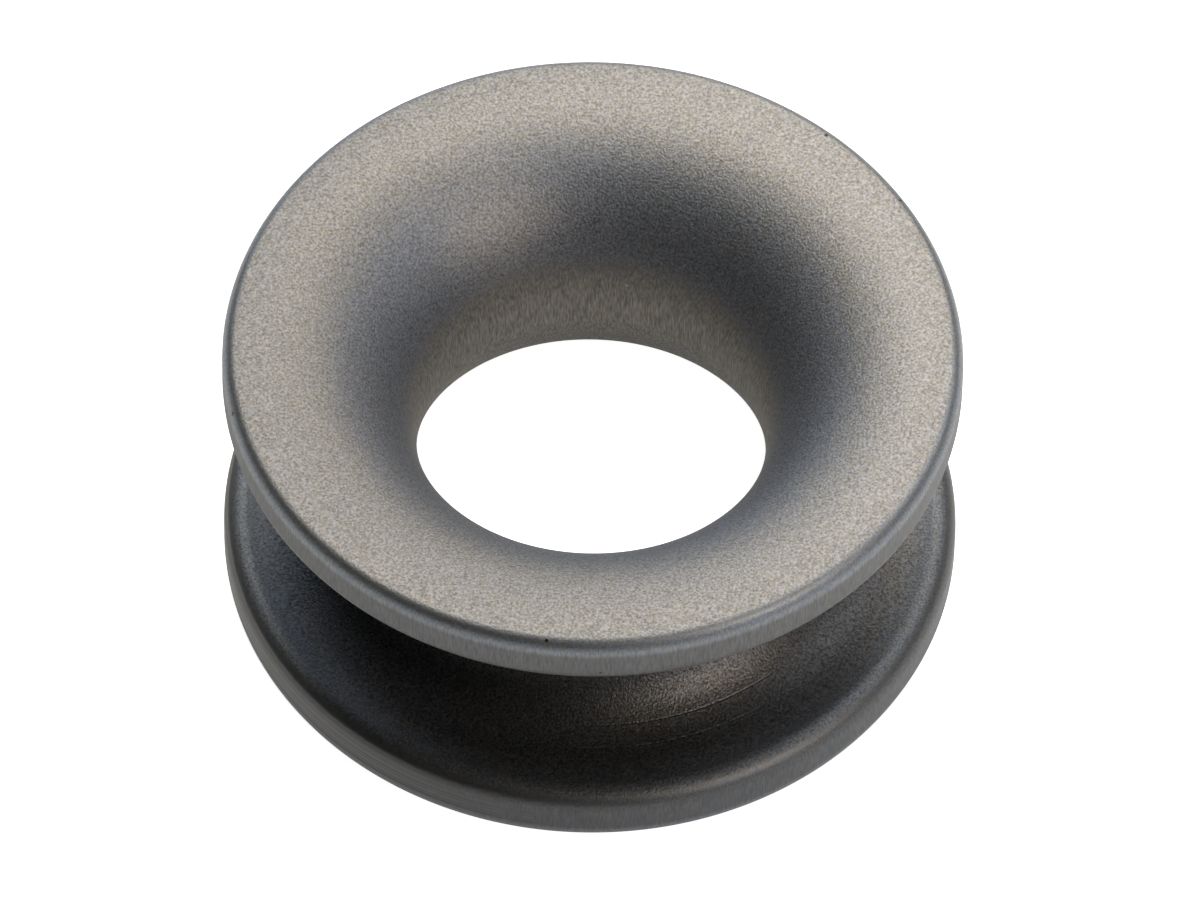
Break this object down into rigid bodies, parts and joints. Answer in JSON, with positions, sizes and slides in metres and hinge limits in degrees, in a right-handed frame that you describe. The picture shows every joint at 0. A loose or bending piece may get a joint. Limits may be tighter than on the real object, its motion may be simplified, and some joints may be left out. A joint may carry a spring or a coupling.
{
  "type": "high load eye",
  "caption": "Low-friction ring for rope: bell-mouthed throat for a running line, round outer groove for a strop or lashing, dark hard-anodised aluminium.",
  "frame": {"origin": "centre of the throat at mid-height", "axes": "+Z along the ring's axis; the ring is the same all round and above and below"},
  "size_m": [0.0422, 0.0422, 0.0186],
  "materials": {
    "anodised_aluminium": "fine matt, hard anodised in dark grey over a blasted surface"
  },
  "bodies": {
    "root": {"ring": "anodised_aluminium"}
  },
  "joints": []
}
